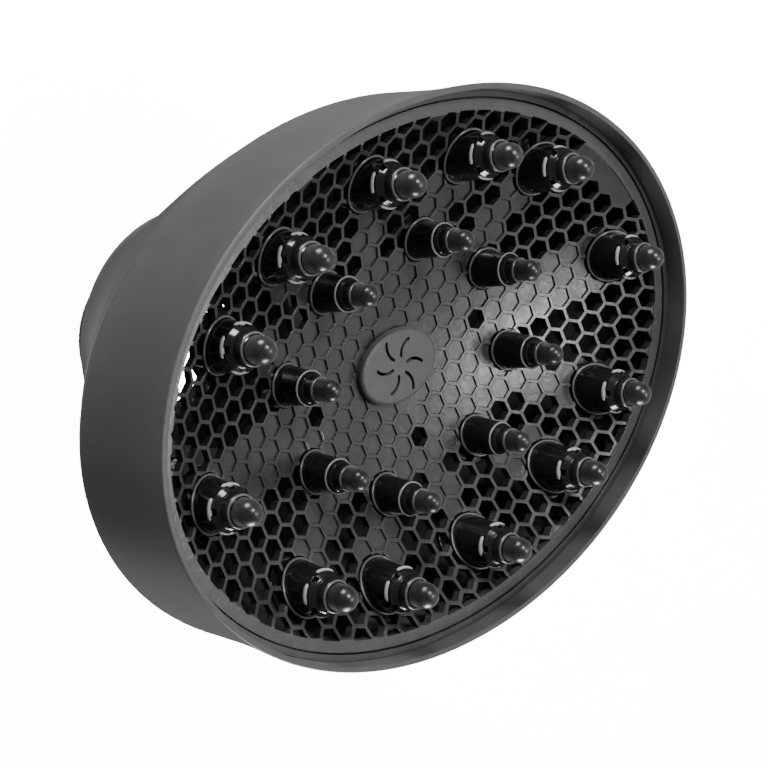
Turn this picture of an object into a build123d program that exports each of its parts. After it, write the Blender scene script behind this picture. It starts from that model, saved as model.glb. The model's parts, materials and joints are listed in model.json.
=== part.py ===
from build123d import *
import math
import os

# Oval dryer diffuser, in millimetres.
# Origin: centre of the neck's mouth, where the dryer's nozzle goes in.
# +Z runs along the air path towards the fingers, +X along the oval's long axis.

# ---- overall sizes ----
BOWL_HALF_LENGTH = 91.5      # side band, half of the long axis
BOWL_HALF_WIDTH = 68.5       # side band, half of the short axis
NECK_TO_GRILLE = 114.0       # neck mouth to the grille's lowest point
BAND_BELOW_GRILLE = 13.5     # the side band starts this far behind that point
RIM_ABOVE_GRILLE = 24.0      # the rim ends this far in front of it

# ---- walls and fits ----
SHELL_WALL = 2.3
RIM_WALL = 1.7
RIM_FLARE = 1.3              # how far the rim stands out past the band
FIT_GAP = 0.10               # between pieces that are clipped together
TURN_GAP = 0.05              # radial gap of the neck in its bearing
SIDE_GAP = 0.30              # end gap of the neck's flange

# ---- grille ----
CELL_PITCH = 6.0
CELL_WEB = 0.95              # rib between two cells
GRILLE_THICKNESS = 2.2
GRILLE_DEPTH = 17.8          # depth of the dish
GRILLE_BORDER = 3.0          # plain border outside the cells
GRILLE_EDGE_GAP = 0.4        # gap between the grille's edge and the seat ring
POCKET_DEPTH = 0.5           # cells in the star are only this deep
STAR_END_INSET = 49.5        # from the side band to the star's blind middle, along the long axis
STAR_SIDE_INSET = 41.5       # and along the short axis
STAR_ARM_HALF_WIDTH = 5.6

# ---- seat ring, which carries the grille ----
SEAT_STEP = 1.7              # visible ledge around the grille
SEAT_RISE = 0.5              # the ledge stands this far above the grille's border
SEAT_FLOOR = 3.2             # height of the ring below the grille's border

# ---- fingers ----
OUTER_RING_END_INSET = 17.2  # from the side band to the ring, along the long axis
OUTER_RING_SIDE_INSET = 17.5 # and along the short axis
OUTER_RING_ANGLES = (0.0, 40.3, 63.4, 90.0)
OUTER_FINGER_RADIUS = 6.6
OUTER_TIP_RADIUS = 3.35
OUTER_TIP_ABOVE_GRILLE = 31.8
INNER_RING_END_INSET = 51.9
INNER_RING_SIDE_INSET = 36.5
INNER_RING_ANGLES = (22.4, 64.1)
INNER_FINGER_RADIUS = 5.1
INNER_TIP_RADIUS = 2.8
INNER_TIP_ABOVE_GRILLE = 23.6
FINGER_WALL = 1.3
FINGER_HOLE_GAP = 0.9        # ring of air between a finger and the grille
FINGER_FLANGE_WIDTH = 2.2
FINGER_FLANGE_THICKNESS = 1.2
BEAD_WIDTH = 0.45            # raised bead around each finger's foot
BEAD_HEIGHT = 0.35
PEG_RADIUS = 1.6             # peg that the soft tip is pushed on to
PEG_HEIGHT = 4.5

# ---- centre cap ----
CAP_HALF_LENGTH = 13.5
CAP_HALF_WIDTH = 9.6
CAP_PROUD = 2.6
CAP_LIP = 1.6                # the cap laps over its hole by this much
CAP_SKIRT_WALL = 1.4
SWIRL_COUNT = 6
SWIRL_INNER = 2.7
SWIRL_OUTER = 7.7
SWIRL_SWEEP = 14.0
SWIRL_BULGE = 0.55
SWIRL_WIDTH = 0.85

# ---- neck adaptor ----
NOZZLE_RADIUS = 22.5
NECK_LIP_RADIUS = 25.9
NECK_LIP_LENGTH = 4.8
NECK_TAPER_END = 24.0
NECK_HUB_RADIUS = 33.0
NECK_WALL = 2.4
NECK_FLANGE_WIDTH = 1.5
NECK_FLANGE_THICKNESS = 2.2
VENT_COUNT = 44
VENT_WIDTH = 1.9
VENT_OPEN_END = 8.6          # the vents go right through up to here
VENT_END = 22.4              # and go on as grooves up to here
VENT_FLOOR = 1.0             # wall left under the grooves

# ---- rear bearing of the bowl ----
REAR_FACE = 25.4
BEARING_LENGTH = 3.2
RETAINER_THICKNESS = 2.0
SCREW_COUNT = 4
SCREW_RADIUS = 1.15
SCREW_HEAD_RADIUS = 1.9
SCREW_HEAD_HEIGHT = 1.4
SCREW_LENGTH = 5.6
SCREW_WALL = 2.3             # from the flange's pocket to a screw's centre
REAR_EDGE_WALL = 3.4         # from a screw's centre to the bowl's rear edge
RING_SECTION = 1.2           # friction ring in the neck's hub

# ---- worked out from the sizes above ----
APEX = NECK_TO_GRILLE
BAND_BACK = APEX - BAND_BELOW_GRILLE
RIM_TOP = APEX + RIM_ABOVE_GRILLE
BORDER_TOP = APEX + GRILLE_DEPTH
SEAT_TOP = BORDER_TOP + SEAT_RISE
SEAT_BASE = BORDER_TOP - GRILLE_THICKNESS - SEAT_FLOOR
MOUTH_INSET = RIM_WALL - RIM_FLARE
SEAT_INSET = MOUTH_INSET + FIT_GAP
GRILLE_INSET = SEAT_INSET + SEAT_STEP + GRILLE_EDGE_GAP
FIELD_INSET = GRILLE_INSET + GRILLE_BORDER
FLANGE_BASE = REAR_FACE + BEARING_LENGTH + SIDE_GAP
FLANGE_TOP = FLANGE_BASE + NECK_FLANGE_THICKNESS
RETAINER_BASE = FLANGE_TOP + SIDE_GAP
NECK_FLANGE_RADIUS = NECK_HUB_RADIUS + NECK_FLANGE_WIDTH
POCKET_RADIUS = NECK_FLANGE_RADIUS + SIDE_GAP
SCREW_RING = POCKET_RADIUS + SCREW_WALL
RETAINER_RADIUS = SCREW_RING + SCREW_HEAD_RADIUS + 0.2
REAR_RADIUS = SCREW_RING + REAR_EDGE_WALL
BEARING_RADIUS = NECK_HUB_RADIUS + TURN_GAP


def band(inset):
    """Half axes of the side band's oval, moved inwards by inset."""
    return BOWL_HALF_LENGTH - inset, BOWL_HALF_WIDTH - inset


def oval_face(half_axes, z):
    return Plane.XY.offset(z) * Ellipse(*half_axes)


def oval_block(half_axes, z0, z1):
    return extrude(oval_face(half_axes, z0), z1 - z0)


def oval_loft(sections):
    """Smooth solid through ovals given as (z, half length, half width)."""
    return loft([oval_face((a, b), z) for z, a, b in sections])


def disc(radius, z0, z1, centre=(0.0, 0.0)):
    return Pos(centre[0], centre[1], z0) * Cylinder(
        radius, z1 - z0, align=(Align.CENTER, Align.CENTER, Align.MIN)
    )


def turned(points):
    """Solid of revolution about Z from (radius, z) points."""
    return revolve(make_face(Plane.XZ * Polyline(*points, close=True)), Axis.Z, 360)


# ---- the dish: bent to one radius along X and a tighter one along Y ----

def bend_radius(half_axis):
    return (half_axis ** 2 + GRILLE_DEPTH ** 2) / (2 * GRILLE_DEPTH)


FIELD_LENGTH, FIELD_WIDTH = band(FIELD_INSET)
BEND_LONG = bend_radius(FIELD_LENGTH)
BEND_SHORT = bend_radius(FIELD_WIDTH)


def dish_height(x, y):
    """Height of the grille's front face at a place."""
    rise = BEND_SHORT - math.sqrt(BEND_SHORT ** 2 - y ** 2)
    return APEX + BEND_LONG - math.sqrt((BEND_LONG - rise) ** 2 - x ** 2)


def dish_layer(low, high):
    """Layer that follows the dish, between two distances in front of its face."""
    reach = 1.12 * BOWL_HALF_WIDTH
    centre = APEX + BEND_SHORT
    lower = BEND_SHORT - low
    upper = BEND_SHORT - high
    half_turn = math.degrees(math.asin(reach / lower))
    ends = []
    for radius in (lower, upper):
        angle = math.radians(half_turn)
        ends.append((radius * math.sin(angle), centre - radius * math.cos(angle)))
    (y0, z0), (y1, z1) = ends
    outline = [
        ThreePointArc((-y0, z0), (0, centre - lower), (y0, z0)),
        Line((y0, z0), (y1, z1)),
        ThreePointArc((y1, z1), (0, centre - upper), (-y1, z1)),
        Line((-y1, z1), (-y0, z0)),
    ]
    section = make_face(Plane.YZ * (Curve() + outline))
    axis = Axis((0, 0, APEX + BEND_LONG), (0, 1, 0))
    swing = math.degrees(math.asin(1.12 * BOWL_HALF_LENGTH / BEND_LONG))
    return revolve(section.rotate(axis, -swing), axis, 2 * swing)


# ---- where the fingers stand ----

def ring_places(half_length, half_width, angles):
    """Places on an oval ring, the same in all four quarters, counted round from +X."""
    turns = set()
    for angle in angles:
        turns.update((angle % 360, (180 - angle) % 360, (180 + angle) % 360, (-angle) % 360))
    places = []
    for turn in sorted(turns):
        t = math.radians(turn)
        places.append((half_length * math.cos(t), half_width * math.sin(t)))
    return places


OUTER_PLACES = ring_places(
    BOWL_HALF_LENGTH - OUTER_RING_END_INSET, BOWL_HALF_WIDTH - OUTER_RING_SIDE_INSET, OUTER_RING_ANGLES
)
INNER_PLACES = ring_places(
    BOWL_HALF_LENGTH - INNER_RING_END_INSET, BOWL_HALF_WIDTH - INNER_RING_SIDE_INSET, INNER_RING_ANGLES
)


# ---- honeycomb ----

def cell_places():
    """Centres of all cells that reach the perforated field."""
    row_step = CELL_PITCH * math.sqrt(3) / 2
    rows = int(FIELD_WIDTH / row_step) + 1
    columns = int(FIELD_LENGTH / CELL_PITCH) + 2
    margin = 0.28 * CELL_PITCH
    places = []
    for row in range(-rows, rows + 1):
        shift = 0.5 * CELL_PITCH * (row % 2)
        for column in range(-columns, columns + 1):
            x = column * CELL_PITCH + shift
            y = row * row_step
            inside = (x / (FIELD_LENGTH + margin)) ** 2 + (y / (FIELD_WIDTH + margin)) ** 2
            if inside < 1:
                places.append((x, y))
    return places


def beside_arm(x, y, end):
    """True where a place lies within a straight arm from the centre to end."""
    length = math.hypot(*end)
    along = (x * end[0] + y * end[1]) / length
    across = abs(x * end[1] - y * end[0]) / length
    return 0 <= along <= length and across <= STAR_ARM_HALF_WIDTH


def in_star(x, y):
    half_length, half_width = BOWL_HALF_LENGTH - STAR_END_INSET, BOWL_HALF_WIDTH - STAR_SIDE_INSET
    if (x / half_length) ** 2 + (y / half_width) ** 2 <= 1:
        return True
    return any(beside_arm(x, y, end) for end in OUTER_PLACES)


def is_open(x, y):
    """Open cells: all cells outside the star, and three single ones inside it."""
    row_step = CELL_PITCH * math.sqrt(3) / 2
    singles = ((5 * CELL_PITCH, 0), (-5 * CELL_PITCH, 0), (0, -4 * row_step))
    if any(math.hypot(x - sx, y - sy) < 0.1 * CELL_PITCH for sx, sy in singles):
        return True
    return not in_star(x, y)


def under_cap(x, y):
    """True where a pocket would reach the centre cap's hole."""
    a = CAP_HALF_LENGTH - CAP_LIP + 0.5 * CELL_PITCH
    b = CAP_HALF_WIDTH - CAP_LIP + 0.5 * CELL_PITCH
    return (x / a) ** 2 + (y / b) ** 2 < 1


def cell_outline(x, y):
    return Pos(x, y) * RegularPolygon(
        (CELL_PITCH - CELL_WEB) / 2, 6, major_radius=False, rotation=30
    )


def finger_openings():
    """Centre and radius of the grille's hole around each finger."""
    outer = [(x, y, OUTER_FINGER_RADIUS + FINGER_HOLE_GAP) for x, y in OUTER_PLACES]
    inner = [(x, y, INNER_FINGER_RADIUS + FINGER_HOLE_GAP) for x, y in INNER_PLACES]
    return outer + inner


def grille_openings(cells):
    """Faces of all holes: cells run into the finger holes, and stop at the border."""
    field = Ellipse(FIELD_LENGTH, FIELD_WIDTH)
    corner = 0.6 * CELL_PITCH
    smallest = 0.08 * CELL_PITCH ** 2
    faces = [Ellipse(CAP_HALF_LENGTH - CAP_LIP, CAP_HALF_WIDTH - CAP_LIP).face()]
    left = list(cells)
    for hx, hy, radius in finger_openings():
        touching = [c for c in left if math.hypot(c[0] - hx, c[1] - hy) < radius + corner]
        left = [c for c in left if c not in touching]
        hole = Pos(hx, hy) * Circle(radius)
        for x, y in touching:
            hole += cell_outline(x, y)
        faces += (hole & field).faces()
    for x, y in left:
        cell = cell_outline(x, y)
        if (x / (FIELD_LENGTH - corner)) ** 2 + (y / (FIELD_WIDTH - corner)) ** 2 > 1:
            cell = cell & field
        faces += [face for face in cell.faces() if face.area > smallest]
    return faces


def make_grille():
    cells = cell_places()
    holes = grille_openings([c for c in cells if is_open(*c)])
    outline = Ellipse(*band(GRILLE_INSET)).face().outer_wire()
    sheet = Face(outline, [face.outer_wire() for face in holes])
    prism = extrude(Pos(0, 0, APEX - 2 * GRILLE_THICKNESS) * sheet, GRILLE_DEPTH + 4 * GRILLE_THICKNESS)
    dish = dish_layer(-GRILLE_THICKNESS, 0) & oval_block(
        band(FIELD_INSET - 0.4), APEX - 2 * GRILLE_THICKNESS, BORDER_TOP
    )
    border = oval_block(band(GRILLE_INSET), BORDER_TOP - GRILLE_THICKNESS, BORDER_TOP)
    border -= oval_block(band(FIELD_INSET + 0.4), APEX, BORDER_TOP + 1)
    plate = (dish + border) & prism
    blind = [c for c in cells if not is_open(*c) and not under_cap(*c)]
    floor = dish_layer(-POCKET_DEPTH, 2 * GRILLE_THICKNESS)
    pockets = []
    for x, y in blind:
        block = extrude(Pos(0, 0, APEX - GRILLE_THICKNESS) * cell_outline(x, y), GRILLE_DEPTH + 10)
        pockets += (block & floor).solids()
    return plate - pockets


# ---- seat ring ----

def make_seat_ring():
    ring = oval_block(band(SEAT_INSET), SEAT_BASE, SEAT_TOP)
    ring -= oval_block(band(FIELD_INSET - 0.6), SEAT_BASE - 1, SEAT_TOP + 1)
    recess = oval_block(band(SEAT_INSET + SEAT_STEP), BORDER_TOP - GRILLE_THICKNESS, SEAT_TOP + 1)
    return ring - recess


# ---- fingers and their soft tips ----

def finger_profile(radius, tip_radius, height):
    """Outer (radius, height) points of a finger above its foot, up to the tip's seat."""
    shoulder = 0.86 * radius
    collar = 0.5 * (shoulder + tip_radius) - 0.1
    return [
        (radius, 0),
        (shoulder, 0.47 * height),
        (collar + 0.35, 0.535 * height),
        (collar, 0.55 * height),
        (collar - 0.25, 0.66 * height),
        (tip_radius - 0.1, 0.68 * height),
    ]


def mirrored(shape, place):
    """Shape made in the first quarter, carried over to the quarter that place is in."""
    if place[0] < -0.01:
        shape = mirror(shape, about=Plane.YZ)
    if place[1] < -0.01:
        shape = mirror(shape, about=Plane.XZ)
    return shape


def make_finger(place, radius, tip_radius, tip_top, with_vents):
    x, y = abs(place[0]), abs(place[1])
    foot = dish_height(x, y)
    height = tip_top - foot
    profile = finger_profile(radius, tip_radius, height)
    seat = profile[-1][1]
    shoulder, shoulder_height = profile[1]
    cavity = shoulder - FINGER_WALL
    deep = GRILLE_THICKNESS + FINGER_FLANGE_THICKNESS
    outside = [(0, -2 * radius), (radius, -2 * radius)] + profile + [(0, seat)]
    body = turned(outside)
    body += disc(PEG_RADIUS, seat - 0.1, seat + PEG_HEIGHT)
    hollow = [
        (0, -2 * radius - 1),
        (radius - FINGER_WALL, -2 * radius - 1),
        (radius - FINGER_WALL, 0),
        (cavity, shoulder_height - 1.0),
        (0.45 * cavity, shoulder_height + 0.6),
        (0, shoulder_height + 0.6),
    ]
    body -= turned(hollow)
    if with_vents:
        slot = Pos(shoulder, 0, shoulder_height + 0.1) * Box(2.6, 1.7, 1.5)
        body -= [Rot(0, 0, 90 * turn + 20) * slot for turn in range(4)]
    body = Pos(x, y, foot) * body
    body &= dish_layer(-deep, 60)
    flange = disc(radius + FINGER_FLANGE_WIDTH, foot - 3 * radius, foot + radius, (x, y))
    flange -= disc(radius - 0.2, foot - 4 * radius, foot + 2 * radius, (x, y))
    bead = disc(radius + BEAD_WIDTH, foot - 3 * radius, foot + radius, (x, y))
    bead -= disc(radius - 0.2, foot - 4 * radius, foot + 2 * radius, (x, y))
    body += flange & dish_layer(-deep, -GRILLE_THICKNESS)
    body += bead & dish_layer(-BEAD_HEIGHT, BEAD_HEIGHT)
    return mirrored(body, place)


def make_tip(place, radius, tip_radius, tip_top):
    """Soft domed cap, pushed on to the finger's peg."""
    x, y = place
    foot = dish_height(x, y)
    height = tip_top - foot
    seat = finger_profile(radius, tip_radius, height)[-1][1]
    dome = height - tip_radius
    outline = [
        Line((0, seat), (tip_radius - 0.35, seat)),
        Line((tip_radius - 0.35, seat), (tip_radius, seat + 0.35)),
        Line((tip_radius, seat + 0.35), (tip_radius, dome)),
        ThreePointArc(
            (tip_radius, dome),
            (tip_radius * math.sqrt(0.5), dome + tip_radius * math.sqrt(0.5)),
            (0, height),
        ),
        Line((0, height), (0, seat)),
    ]
    tip = revolve(make_face(Plane.XZ * (Curve() + outline)), Axis.Z, 360)
    tip -= disc(PEG_RADIUS + FIT_GAP, seat - 1, seat + PEG_HEIGHT + FIT_GAP)
    return Pos(x, y, foot) * tip


# ---- centre cap ----

def swirl_slot(turn):
    start = math.radians(turn)
    end = math.radians(turn - SWIRL_SWEEP)
    middle = (start + end) / 2
    r = (SWIRL_INNER + SWIRL_OUTER) / 2
    a = (SWIRL_INNER * math.cos(start), SWIRL_INNER * math.sin(start))
    c = (SWIRL_OUTER * math.cos(end), SWIRL_OUTER * math.sin(end))
    b = (
        r * math.cos(middle) - SWIRL_BULGE * math.sin(middle),
        r * math.sin(middle) + SWIRL_BULGE * math.cos(middle),
    )
    return SlotArc(ThreePointArc(a, b, c), SWIRL_WIDTH)


def make_centre_cap():
    top = APEX + CAP_PROUD
    edge = (CAP_HALF_LENGTH, CAP_HALF_WIDTH)
    hole = (CAP_HALF_LENGTH - CAP_LIP - FIT_GAP, CAP_HALF_WIDTH - CAP_LIP - FIT_GAP)
    bore = (hole[0] - CAP_SKIRT_WALL, hole[1] - CAP_SKIRT_WALL)
    under = APEX - GRILLE_THICKNESS - 1.6
    cap = oval_block(edge, dish_height(CAP_HALF_LENGTH, 0) + FIT_GAP, top)
    cap = fillet(cap.edges().group_by(Axis.Z)[-1], 1.1)
    cap += oval_block(hole, under, APEX + 1)
    cap -= oval_block(bore, under - 1, top - 1.5)
    for turn in range(SWIRL_COUNT):
        slot = swirl_slot(turn * 360 / SWIRL_COUNT)
        cap -= extrude(Pos(0, 0, top - 3) * slot, 4)
    for side in (-1, 1):
        hook = Pos(side * (hole[0] - 0.4), 0, under + 0.55) * Box(1.6, 4.0, 1.1)
        cap += hook
    return cap


# ---- bowl ----

def rear_sections(inset):
    """Ovals of the rear funnel, from the neck to the side band."""
    half_length, half_width = band(0.8)
    height = BAND_BACK - REAR_FACE
    shares = [(0.0, 0.0, 0.0), (0.12, 0.07, 0.075), (0.28, 0.195, 0.25), (0.47, 0.38, 0.47),
              (0.66, 0.61, 0.675), (0.855, 0.845, 0.875), (1.0, 1.0, 1.0)]
    sections = []
    for up, long_share, wide_share in shares:
        a = REAR_RADIUS + long_share * (half_length - REAR_RADIUS)
        b = REAR_RADIUS + wide_share * (half_width - REAR_RADIUS)
        sections.append((REAR_FACE + up * height, a - inset, b - inset))
    return sections


def band_sections(inset):
    """Ovals of the side band, nearly straight, then flared at the rim."""
    height = RIM_TOP - BAND_BACK
    shares = [(0.0, 0.0), (0.35, 0.06), (0.62, 0.2), (0.85, 0.6), (1.0, 1.0)]
    sections = []
    for up, flare in shares:
        a, b = band(inset - flare * RIM_FLARE)
        sections.append((BAND_BACK + up * height, a, b))
    return sections


def screw_places():
    step = 360 / SCREW_COUNT
    turns = [math.radians(step * (number + 0.5)) for number in range(SCREW_COUNT)]
    return [(SCREW_RING * math.cos(t), SCREW_RING * math.sin(t)) for t in turns]


def make_outer_shell():
    side = oval_loft(band_sections(0))
    side = fillet(side.edges().group_by(Axis.Z)[0], 2.2)
    side = fillet(side.edges().group_by(Axis.Z)[-1], 0.5)
    shell = side + oval_loft(rear_sections(0))
    rear_hollow = oval_loft(rear_sections(SHELL_WALL))
    shell -= rear_hollow & disc(2 * BOWL_HALF_LENGTH, RETAINER_BASE, BAND_BACK + 1)
    shell -= oval_block(band(SHELL_WALL), BAND_BACK + SHELL_WALL, SEAT_BASE)
    shell -= oval_loft([(BAND_BACK - 0.1, *band(0.8 + SHELL_WALL)),
                        (BAND_BACK + SHELL_WALL + 0.1, *band(SHELL_WALL))])
    shell -= oval_block(band(MOUTH_INSET), SEAT_BASE, RIM_TOP + 1)
    shell -= disc(POCKET_RADIUS, REAR_FACE + BEARING_LENGTH, RETAINER_BASE + 1)
    shell -= disc(BEARING_RADIUS, REAR_FACE - 1, RETAINER_BASE)
    shell -= [
        disc(SCREW_RADIUS + TURN_GAP, RETAINER_BASE + RETAINER_THICKNESS - SCREW_LENGTH - 0.4,
             RETAINER_BASE + 1, place)
        for place in screw_places()
    ]
    return shell


def make_retainer():
    ring = disc(RETAINER_RADIUS, RETAINER_BASE, RETAINER_BASE + RETAINER_THICKNESS)
    ring -= disc(NECK_HUB_RADIUS - NECK_WALL, RETAINER_BASE - 1, RETAINER_BASE + 10)
    ring -= [
        disc(SCREW_RADIUS + 0.25, RETAINER_BASE - 1, RETAINER_BASE + 10, place)
        for place in screw_places()
    ]
    return ring


def make_screws():
    head_base = RETAINER_BASE + RETAINER_THICKNESS
    screws = []
    for place in screw_places():
        head = disc(SCREW_HEAD_RADIUS, head_base, head_base + SCREW_HEAD_HEIGHT, place)
        head = fillet(head.edges().group_by(Axis.Z)[-1], 0.5)
        shank = disc(SCREW_RADIUS, head_base - SCREW_LENGTH, head_base + 0.1, place)
        drive = Pos(place[0], place[1], head_base + SCREW_HEAD_HEIGHT)
        cross = drive * (Box(2.2, 0.5, 1.4) + Box(0.5, 2.2, 1.4))
        screws.append(head + shank - cross)
    return Compound(screws)


# ---- neck ----

def make_neck_adaptor():
    bore = NECK_HUB_RADIUS - NECK_WALL
    groove_base = REAR_FACE + 0.6
    outline = [
        (NOZZLE_RADIUS + 0.6, 0),
        (NECK_LIP_RADIUS - 1.0, 0),
        (NECK_LIP_RADIUS - 0.3, 0.3),
        (NECK_LIP_RADIUS, 1.0),
        (NECK_LIP_RADIUS, NECK_LIP_LENGTH - 0.8),
        (NECK_HUB_RADIUS, NECK_TAPER_END),
        (NECK_HUB_RADIUS, groove_base),
        (NECK_HUB_RADIUS - RING_SECTION, groove_base),
        (NECK_HUB_RADIUS - RING_SECTION, groove_base + RING_SECTION),
        (NECK_HUB_RADIUS, groove_base + RING_SECTION),
        (NECK_HUB_RADIUS, FLANGE_BASE),
        (NECK_FLANGE_RADIUS, FLANGE_BASE),
        (NECK_FLANGE_RADIUS, FLANGE_TOP),
        (bore, FLANGE_TOP),
        (bore, NECK_TAPER_END),
        (NOZZLE_RADIUS, NECK_LIP_LENGTH + 0.4),
        (NOZZLE_RADIUS, 0.6),
    ]
    neck = turned(outline)
    middle = (NECK_LIP_LENGTH + VENT_END) / 2
    length = VENT_END - NECK_LIP_LENGTH
    reach = (NOZZLE_RADIUS + NECK_HUB_RADIUS) / 2
    depth = NECK_HUB_RADIUS - NOZZLE_RADIUS + 4
    slot = Pos(reach, 0, middle) * Box(depth, VENT_WIDTH, length)
    neck -= [Rot(0, 0, turn * 360 / VENT_COUNT) * slot for turn in range(VENT_COUNT)]
    rise = (bore - NOZZLE_RADIUS) / (NECK_TAPER_END - NECK_LIP_LENGTH - 0.4)
    floor_start = NOZZLE_RADIUS + rise * (VENT_OPEN_END - NECK_LIP_LENGTH - 0.4)
    floor_end = NOZZLE_RADIUS + rise * (VENT_END + 0.2 - NECK_LIP_LENGTH - 0.4)
    neck += turned([
        (floor_start, VENT_OPEN_END),
        (floor_start + VENT_FLOOR, VENT_OPEN_END),
        (floor_end + VENT_FLOOR, VENT_END + 0.2),
        (floor_end, VENT_END + 0.2),
    ])
    return neck


def make_friction_ring():
    base = REAR_FACE + 0.6
    gap = 0.05
    ring = disc(NECK_HUB_RADIUS, base + gap, base + RING_SECTION - gap)
    return ring - disc(NECK_HUB_RADIUS - RING_SECTION + gap, base, base + RING_SECTION)


# ---- write every sub-part to its own file ----

def all_parts():
    parts = {
        "outer_shell": make_outer_shell(),
        "seat_ring": make_seat_ring(),
        "grille_plate": make_grille(),
        "centre_cap": make_centre_cap(),
        "neck_adaptor": make_neck_adaptor(),
        "friction_ring": make_friction_ring(),
        "neck_retainer": make_retainer(),
        "retainer_screws": make_screws(),
    }
    outer_top = APEX + OUTER_TIP_ABOVE_GRILLE
    for number, place in enumerate(OUTER_PLACES, 1):
        size = (OUTER_FINGER_RADIUS, OUTER_TIP_RADIUS, outer_top)
        parts[f"finger_outer_{number:02d}"] = make_finger(place, *size, True)
        parts[f"tip_outer_{number:02d}"] = make_tip(place, *size)
    inner_top = APEX + INNER_TIP_ABOVE_GRILLE
    for number, place in enumerate(INNER_PLACES, 1):
        size = (INNER_FINGER_RADIUS, INNER_TIP_RADIUS, inner_top)
        parts[f"finger_inner_{number:02d}"] = make_finger(place, *size, False)
        parts[f"tip_inner_{number:02d}"] = make_tip(place, *size)
    return parts


if __name__ == "__main__":
    os.makedirs("parts", exist_ok=True)
    for name, shape in all_parts().items():
        export_step(shape, f"parts/{name}.step", write_pcurves=False)
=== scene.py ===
# Salon dryer diffuser: finishes for the CAD nodes, trim on the fingers whose paler greys are painted
#  highlight, then the floor, the camera and the lights.

import json
import math

import bmesh
import bpy
from mathutils import Matrix, Vector
from mathutils.bvhtree import BVHTree


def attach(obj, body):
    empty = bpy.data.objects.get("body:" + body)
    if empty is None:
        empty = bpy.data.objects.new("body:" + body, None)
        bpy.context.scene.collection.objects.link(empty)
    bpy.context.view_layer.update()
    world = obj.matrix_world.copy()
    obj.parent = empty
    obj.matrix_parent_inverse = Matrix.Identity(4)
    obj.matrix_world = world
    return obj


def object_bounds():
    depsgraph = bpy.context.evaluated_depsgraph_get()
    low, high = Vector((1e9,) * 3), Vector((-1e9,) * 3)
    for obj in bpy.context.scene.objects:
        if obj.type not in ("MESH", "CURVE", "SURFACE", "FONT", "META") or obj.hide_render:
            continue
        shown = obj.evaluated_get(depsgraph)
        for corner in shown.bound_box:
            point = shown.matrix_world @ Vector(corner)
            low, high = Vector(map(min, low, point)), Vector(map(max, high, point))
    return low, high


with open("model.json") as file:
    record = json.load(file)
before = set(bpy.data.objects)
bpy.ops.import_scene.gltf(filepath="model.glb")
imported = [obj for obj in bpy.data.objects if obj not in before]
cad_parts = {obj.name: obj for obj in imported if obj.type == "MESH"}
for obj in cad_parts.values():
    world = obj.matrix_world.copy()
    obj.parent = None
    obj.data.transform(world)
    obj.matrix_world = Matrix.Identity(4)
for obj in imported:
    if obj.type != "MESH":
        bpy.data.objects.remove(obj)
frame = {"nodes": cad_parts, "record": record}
cad_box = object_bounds()

MM = 0.001
SMOOTH_ANGLE = math.radians(32)         # edges sharper than this stay sharp


# ---------------------------------------------------------------- materials

class Nodes:
    """Short-hand for building one material's node tree."""

    def __init__(self, name):
        self.material = bpy.data.materials.new(name)
        self.material.use_nodes = True
        self.tree = self.material.node_tree
        self.shader = self.tree.nodes["Principled BSDF"]
        self.place = self.add("ShaderNodeTexCoord").outputs["Object"]

    def add(self, kind, **values):
        node = self.tree.nodes.new(kind)
        for key, value in values.items():
            setattr(node, key, value)
        return node

    def link(self, source, target):
        self.tree.links.new(source, target)

    def noise(self, size_mm, detail=3.0, roughness=0.55, distortion=0.0):
        """Noise whose grains are about size_mm across."""
        node = self.add("ShaderNodeTexNoise")
        self.link(self.place, node.inputs["Vector"])
        node.inputs["Scale"].default_value = 1 / (size_mm * MM)
        node.inputs["Detail"].default_value = detail
        node.inputs["Roughness"].default_value = roughness
        node.inputs["Distortion"].default_value = distortion
        return node.outputs["Fac"]

    def remap(self, source, low, high, start=0.3, end=0.7):
        node = self.add("ShaderNodeMapRange")
        self.link(source, node.inputs["Value"])
        for socket, value in zip(("From Min", "From Max", "To Min", "To Max"), (start, end, low, high)):
            node.inputs[socket].default_value = value
        return node.outputs["Result"]

    def math(self, operation, first, second):
        node = self.add("ShaderNodeMath", operation=operation)
        for number, value in enumerate((first, second)):
            if isinstance(value, (int, float)):
                node.inputs[number].default_value = value
            else:
                self.link(value, node.inputs[number])
        return node.outputs["Value"]

    def blend(self, factor, first, second):
        """Colour between first and second, which are colours or sockets."""
        node = self.add("ShaderNodeMix", data_type="RGBA")
        colours = [s for s in node.inputs if s.type == "RGBA"]
        self.link(factor, node.inputs[0])
        for socket, value in zip(colours, (first, second)):
            if isinstance(value, tuple):
                socket.default_value = (*value, 1)
            else:
                self.link(value, socket)
        return next(s for s in node.outputs if s.type == "RGBA")

    def worn(self):
        """Bright on convex edges, for wear and for moulding flash."""
        return self.remap(self.add("ShaderNodeNewGeometry").outputs["Pointiness"], 0, 1, 0.505, 0.56)

    def relief(self, layers, round_mm):
        """Bump layers of (height socket, depth in mm) over slightly rounded edges."""
        soft = self.add("ShaderNodeBevel", samples=4)
        soft.inputs["Radius"].default_value = round_mm * MM
        normal = soft.outputs["Normal"]
        for height, depth_mm in layers:
            bump = self.add("ShaderNodeBump")
            bump.inputs["Strength"].default_value = 1.0
            bump.inputs["Distance"].default_value = depth_mm * MM
            self.link(height, bump.inputs["Height"])
            self.link(normal, bump.inputs["Normal"])
            normal = bump.outputs["Normal"]
        self.link(normal, self.shader.inputs["Normal"])

    def set(self, **values):
        for key, value in values.items():
            self.shader.inputs[key.replace("_", " ")].default_value = value


def grey(level, warmth=0.0):
    return (level * (1 + warmth), level, level * (1 - warmth))


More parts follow.
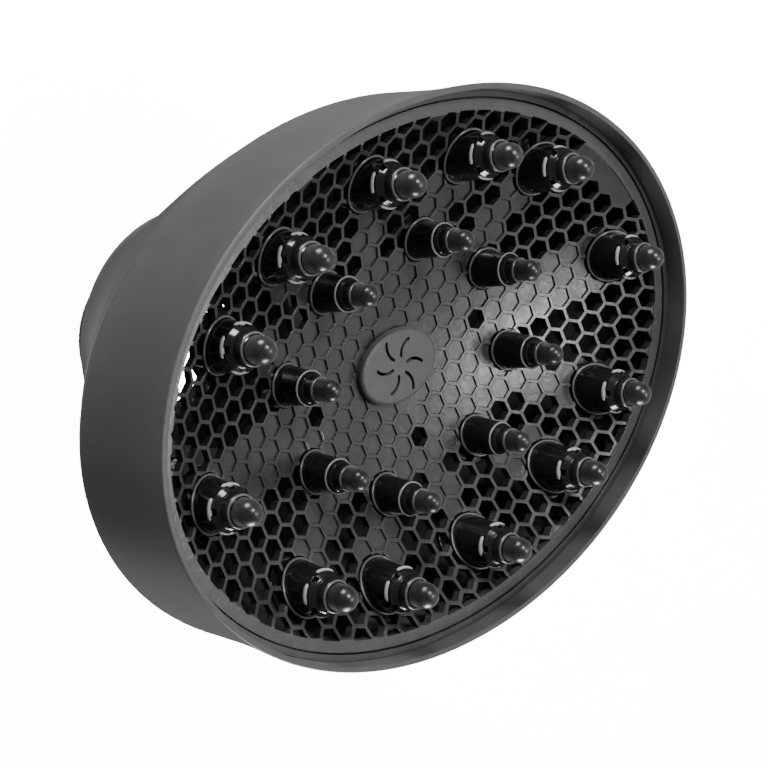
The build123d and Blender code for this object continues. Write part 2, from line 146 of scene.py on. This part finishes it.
def soft_touch():
    """Rubbery matte coating of the bowl: very fine grain, faint clouds, paler worn edges."""
    m = Nodes("soft_touch_black")
    clouds = m.noise(38, 2.0)
    colour = m.blend(m.remap(clouds, 0, 1), grey(0.030, 0.01), grey(0.040, 0.01))
    colour = m.blend(m.math("MULTIPLY", m.worn(), m.remap(m.noise(6), 0.1, 0.7)), colour, grey(0.085))
    m.link(colour, m.shader.inputs["Base Color"])
    m.link(m.remap(m.noise(9), 0.46, 0.56), m.shader.inputs["Roughness"])
    m.relief([(m.noise(0.28, 2.0), 0.010), (m.noise(14, 1.0), 0.02)], 0.25)
    m.set(Sheen_Weight=0.12, Sheen_Roughness=0.5, Specular_IOR_Level=0.5)
    return m.material


def moulded(name, dark, light, rough, unevenness_mm, round_mm):
    """Injection-moulded black plastic with a slightly uneven, wavy gloss."""
    m = Nodes(name)
    colour = m.blend(m.remap(m.noise(11), 0, 1), grey(dark, 0.02), grey(light, 0.02))
    colour = m.blend(m.math("MULTIPLY", m.worn(), 0.5), colour, grey(light * 2.2))
    m.link(colour, m.shader.inputs["Base Color"])
    m.link(m.remap(m.noise(4.0), *rough), m.shader.inputs["Roughness"])
    m.relief([(m.noise(2.6, 2.0, distortion=0.6), unevenness_mm), (m.noise(0.35, 2.0), 0.004)], round_mm)
    m.set(Specular_IOR_Level=0.5)
    return m.material


def elastomer(name, dark, light, rough, grain_mm, depth_mm):
    """Matte silicone-like rubber with a dusty, grainy skin."""
    m = Nodes(name)
    dust = m.math("MULTIPLY", m.remap(m.noise(3.0, 4.0), 0, 1, 0.45, 0.75), m.remap(m.noise(0.5), 0.4, 1))
    m.link(m.blend(dust, grey(dark, 0.01), grey(light, 0.02)), m.shader.inputs["Base Color"])
    m.link(m.remap(m.noise(1.5), *rough), m.shader.inputs["Roughness"])
    m.relief([(m.noise(grain_mm, 3.0), depth_mm)], 0.15)
    m.set(Sheen_Weight=0.2, Sheen_Roughness=0.45, Specular_IOR_Level=0.4)
    return m.material


def zinc():
    m = Nodes("zinc_screws")
    m.link(m.blend(m.remap(m.noise(1.2), 0, 1), grey(0.38), grey(0.52)), m.shader.inputs["Base Color"])
    m.link(m.remap(m.noise(0.5), 0.28, 0.42), m.shader.inputs["Roughness"])
    m.relief([(m.noise(0.3), 0.004)], 0.08)
    m.set(Metallic=1.0)
    return m.material


FINISHES = {
    "soft_touch": soft_touch(),
    "grille": moulded("grille_black", 0.020, 0.030, (0.22, 0.34), 0.05, 0.22),
    "seat": moulded("seat_black", 0.014, 0.020, (0.30, 0.42), 0.02, 0.20),
    "finger_gloss": moulded("finger_gloss_black", 0.007, 0.010, (0.12, 0.19), 0.012, 0.22),
    "tip_soft": elastomer("tip_charcoal", 0.010, 0.022, (0.24, 0.34), 0.30, 0.020),
    "cap": elastomer("cap_dark_grey", 0.058, 0.078, (0.44, 0.54), 0.22, 0.006),
    "neck_elastomer": elastomer("neck_rubber_black", 0.022, 0.034, (0.48, 0.6), 0.35, 0.010),
    "friction_rubber": elastomer("friction_rubber_black", 0.015, 0.022, (0.5, 0.6), 0.4, 0.010),
    "screw_steel": zinc(),
}


# ---------------------------------------------------------------- CAD nodes

slot_of = {part["node"]: part["material_slot"] for part in frame["record"]["subparts"]}
for node, piece in frame["nodes"].items():
    piece.data.materials.clear()
    piece.data.materials.append(FINISHES[slot_of[node]])
    piece.data.shade_smooth()
    piece.data.set_sharp_from_angle(angle=SMOOTH_ANGLE)


# ---------------------------------------------------------------- finger trim

FLANGE_WIDTH = 2.2 * MM             # hidden flange, past the finger's foot, as in the CAD
SEAT_SHARE = 0.68                   # of a finger's height, where its soft tip starts
SHOULDER_SHARE = 0.47               # of a finger's height, where its cone ends
SHOULDER_TAPER = 0.86               # of the foot's radius, at the top of the cone
BEAD_RADIUS = 0.34 * MM
BEAD_SUNK = 0.35                    # of the bead's radius, below the surface it lies on
BEAD_PAST_FOOT = 0.35 * MM
SHOULDER_RING_RADIUS = 0.30 * MM
SHOULDER_RING_SUNK = 0.10 * MM      # the ring's middle lies this far inside the cone
SEAT_RING_DROP = 0.1 * MM           # below the soft tip's seat
SEAT_RING_SHARE = 0.585             # of the foot's radius, for the ring under the soft tip
ARC_COUNT = 4
ARC_START = math.radians(65)        # middle of the first arc, counted from +X
ARC_SPAN = math.radians(58)
ARC_RADIUS = 0.62 * MM
ARC_SUNK = 0.35                     # of the arc's radius, inside the cone
ARC_BELOW_SHOULDER = 0.06           # of a finger's height
ARC_STEPS = 19
ARC_END_TAPER = 0.9                 # how far the arc's section shrinks at its two ends
TUBE_SIDES = 10
FULL_TURN_STEPS = 72


def measure_finger(node):
    """Axis, foot radius, foot height and height of a finger, from it and its tip."""
    finger = frame["nodes"][node]
    tip = frame["nodes"][node.replace("finger_", "tip_")]
    corners = [tip.matrix_world @ Vector(corner) for corner in tip.bound_box]
    axis = sum(corners, Vector()) / len(corners)
    top = max(corner.z for corner in corners)
    height = (top - min(corner.z for corner in corners)) / (1 - SEAT_SHARE)
    points = [finger.matrix_world @ vertex.co for vertex in finger.data.vertices]
    reach = max(math.hypot(point.x - axis.x, point.y - axis.y) for point in points)
    surface = BVHTree.FromPolygons(points, [tuple(face.vertices) for face in finger.data.polygons])
    return axis, reach - FLANGE_WIDTH, top - height, height, surface


def add_tube(shape, centres, outwards, radii):
    """Tube through the centres, closed into a ring unless its radii shrink at the ends."""
    rolls = [math.tau * side / TUBE_SIDES for side in range(TUBE_SIDES)]
    loops = []
    for centre, outward, radius in zip(centres, outwards, radii):
        loops.append([
            shape.verts.new(centre + outward * (radius * math.cos(roll))
                            + Vector((0, 0, radius * math.sin(roll))))
            for roll in rolls
        ])
    is_ring = radii[0] == radii[len(radii) // 2]
    followers = loops[1:] + loops[:1] if is_ring else loops[1:]
    for first, second in zip(loops, followers):
        for side in range(TUBE_SIDES):
            after = (side + 1) % TUBE_SIDES
            shape.faces.new((first[side], first[after], second[after], second[side]))
    if not is_ring:
        shape.faces.new(loops[0])
        shape.faces.new(loops[-1][::-1])


def directions(start, span, steps):
    return [Vector((math.cos(turn), math.sin(turn), 0))
            for turn in (start + span * step / steps for step in range(steps))]


def add_level_ring(shape, axis, radius, z, tube_radius):
    outwards = directions(0, math.tau, FULL_TURN_STEPS)
    centres = [Vector((axis.x, axis.y, z)) + outward * radius for outward in outwards]
    add_tube(shape, centres, outwards, [tube_radius] * len(centres))


def add_foot_bead(shape, axis, radius, surface):
    """Round bead that follows the dish around a finger's foot."""
    outwards = directions(0, math.tau, FULL_TURN_STEPS)
    centres = []
    for outward in outwards:
        top = surface.ray_cast(axis + outward * radius, Vector((0, 0, -1)))[0]
        centres.append(top - Vector((0, 0, BEAD_RADIUS * BEAD_SUNK)))
    add_tube(shape, centres, outwards, [BEAD_RADIUS] * len(centres))


def add_shoulder_arc(shape, axis, radius, z, middle):
    """Arc let into the top of a finger's cone, with softly rounded ends; its pale grey is painted
    highlight.
    """
    outwards = directions(middle - ARC_SPAN / 2, ARC_SPAN, ARC_STEPS)
    centres = [Vector((axis.x, axis.y, z)) + outward * radius for outward in outwards]
    radii = []
    for step in range(ARC_STEPS):
        off_middle = abs(2 * step / (ARC_STEPS - 1) - 1)
        radii.append(ARC_RADIUS * math.sqrt(1 - off_middle ** 8 * ARC_END_TAPER))
    add_tube(shape, centres, outwards, radii)


def finish_trim(name, shape, material):
    bmesh.ops.recalc_face_normals(shape, faces=shape.faces)
    mesh = bpy.data.meshes.new(name)
    shape.to_mesh(mesh)
    shape.free()
    mesh.shade_smooth()
    mesh.materials.append(material)
    piece = bpy.data.objects.new(name, mesh)
    bpy.context.scene.collection.objects.link(piece)
    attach(piece, "bowl")


def make_finger_trim():
    """Beads, collar rings and shoulder arcs on the fingers; their greys, paler than the black fingers,
    are painted highlight, and their round sections catch some real highlights too.
    """
    beads, rings, arcs = bmesh.new(), bmesh.new(), bmesh.new()
    for node in frame["nodes"]:
        if not node.startswith("finger_"):
            continue
        axis, radius, foot, height, surface = measure_finger(node)
        is_outer = "outer" in node
        add_foot_bead(beads, axis, radius + BEAD_PAST_FOOT, surface)
        add_level_ring(beads, axis, SEAT_RING_SHARE * radius,
                       foot + SEAT_SHARE * height - SEAT_RING_DROP, BEAD_RADIUS)
        if is_outer:
            arc_share = SHOULDER_SHARE - ARC_BELOW_SHOULDER
            cone = radius * (1 - (1 - SHOULDER_TAPER) * arc_share / SHOULDER_SHARE)
            for number in range(ARC_COUNT):
                add_shoulder_arc(arcs, axis, cone - ARC_SUNK * ARC_RADIUS, foot + arc_share * height,
                                 ARC_START + math.tau * number / ARC_COUNT)
        else:
            add_level_ring(rings, axis, SHOULDER_TAPER * radius - SHOULDER_RING_SUNK,
                           foot + SHOULDER_SHARE * height, SHOULDER_RING_RADIUS)
    # Beads and seat rings are a paler grey than the black fingers: partly painted highlight, partly the
    # real shine of their round section.
    finish_trim("foot_beads", beads, moulded("bead_grey_painted_highlight", 0.045, 0.060, (0.20, 0.28), 0.004, 0.05))
    # Grey ring on the black inner fingers' shoulders: painted highlight.
    finish_trim("collar_rings", rings, moulded("collar_painted_highlight", 0.100, 0.140, (0.28, 0.36), 0.004, 0.05))
    # Pale grey arcs on the black outer fingers' shoulders: painted highlight.
    finish_trim("shoulder_arcs", arcs, moulded("arc_painted_highlight", 0.160, 0.220, (0.32, 0.42), 0.004, 0.05))


make_finger_trim()


# ---------------------------------------------------------------- floor

FLOOR_HALF = 6.0


def make_floor():
    mesh = bpy.data.meshes.new("floor")
    corners = [(-1, -1), (1, -1), (1, 1), (-1, 1)]
    mesh.from_pydata([(x * FLOOR_HALF, y * FLOOR_HALF, 0) for x, y in corners], [], [(0, 1, 2, 3)])
    floor = bpy.data.objects.new("floor", mesh)
    bpy.context.scene.collection.objects.link(floor)
    m = Nodes("pale_floor")
    m.link(m.blend(m.remap(m.noise(60), 0, 1), grey(0.86), grey(0.88)), m.shader.inputs["Base Color"])
    m.set(Roughness=0.7, Specular_IOR_Level=0.2)
    mesh.materials.append(m.material)
    floor.visible_diffuse = False         # its glare would wash out the black plastic
    floor.visible_glossy = False
    return floor


floor = make_floor()


# ---------------------------------------------------------------- camera and light

AIM = Vector((-4.8, -3.1, 114.0)) * MM
CAMERA_AZIMUTH = math.radians(148.93)     # direction of the camera, counted from +X
CAMERA_ELEVATION = math.radians(48.55)
CAMERA_ROLL = math.radians(97.22)         # the diffuser lies on its side in the picture
CAMERA_DISTANCE = 0.49025

back = Vector((
    math.cos(CAMERA_ELEVATION) * math.cos(CAMERA_AZIMUTH),
    math.cos(CAMERA_ELEVATION) * math.sin(CAMERA_AZIMUTH),
    math.sin(CAMERA_ELEVATION),
))
level = Vector((0, 0, 1)).cross(back).normalized()
right = level * math.cos(CAMERA_ROLL) + back.cross(level) * math.sin(CAMERA_ROLL)
up = back.cross(right)

camera_data = bpy.data.cameras.new("camera")
camera_data.sensor_width = 36.0
camera_data.lens = 87.76
camera_data.clip_start = 0.01
camera = bpy.data.objects.new("camera", camera_data)
bpy.context.scene.collection.objects.link(camera)
turn = Matrix((right, up, back)).transposed().to_4x4()
camera.matrix_world = Matrix.Translation(AIM + back * CAMERA_DISTANCE) @ turn
bpy.context.scene.camera = camera


def softbox(name, direction, distance, size, power, only=None):
    """Square soft light that faces the diffuser's middle, or that lights only one object."""
    centre = (cad_box[0] + cad_box[1]) / 2
    data = bpy.data.lights.new(name, "AREA")
    data.shape = "SQUARE"
    data.size = size
    data.energy = power
    light = bpy.data.objects.new(name, data)
    bpy.context.scene.collection.objects.link(light)
    toward = Vector(direction).normalized()
    light.location = centre + toward * distance
    light.rotation_euler = toward.to_track_quat("Z", "Y").to_euler()
    if only:
        data.use_shadow = False
        group = bpy.data.collections.new(name)
        group.objects.link(only)
        light.light_linking.receiver_collection = group


softbox("key_light", (0.14, 0.42, 0.89), 0.95, 0.16, 7.4)
softbox("window_light", (0.31, -0.17, 0.92), 1.0, 0.20, 3.4)
softbox("broad_light", (0.57, -0.34, 0.75), 1.3, 1.2, 3.6)
softbox("upper_light", (0.02, 1.00, 0.14), 1.0, 0.40, 17.0)
softbox("lower_light", (-0.20, -0.97, 0.08), 1.0, 0.40, 20.0)
softbox("floor_light", (0.1, 0.1, 1.0), 2.0, 2.0, 900.0, only=floor)

SKY_COLOUR = (0.9, 0.93, 1.0, 1)
SKY_STRENGTH = 0.16

world = bpy.data.worlds.new("studio")
world.use_nodes = True
sky = world.node_tree.nodes["Background"]
sky.inputs["Color"].default_value = SKY_COLOUR
sky.inputs["Strength"].default_value = SKY_STRENGTH
bpy.context.scene.world = world
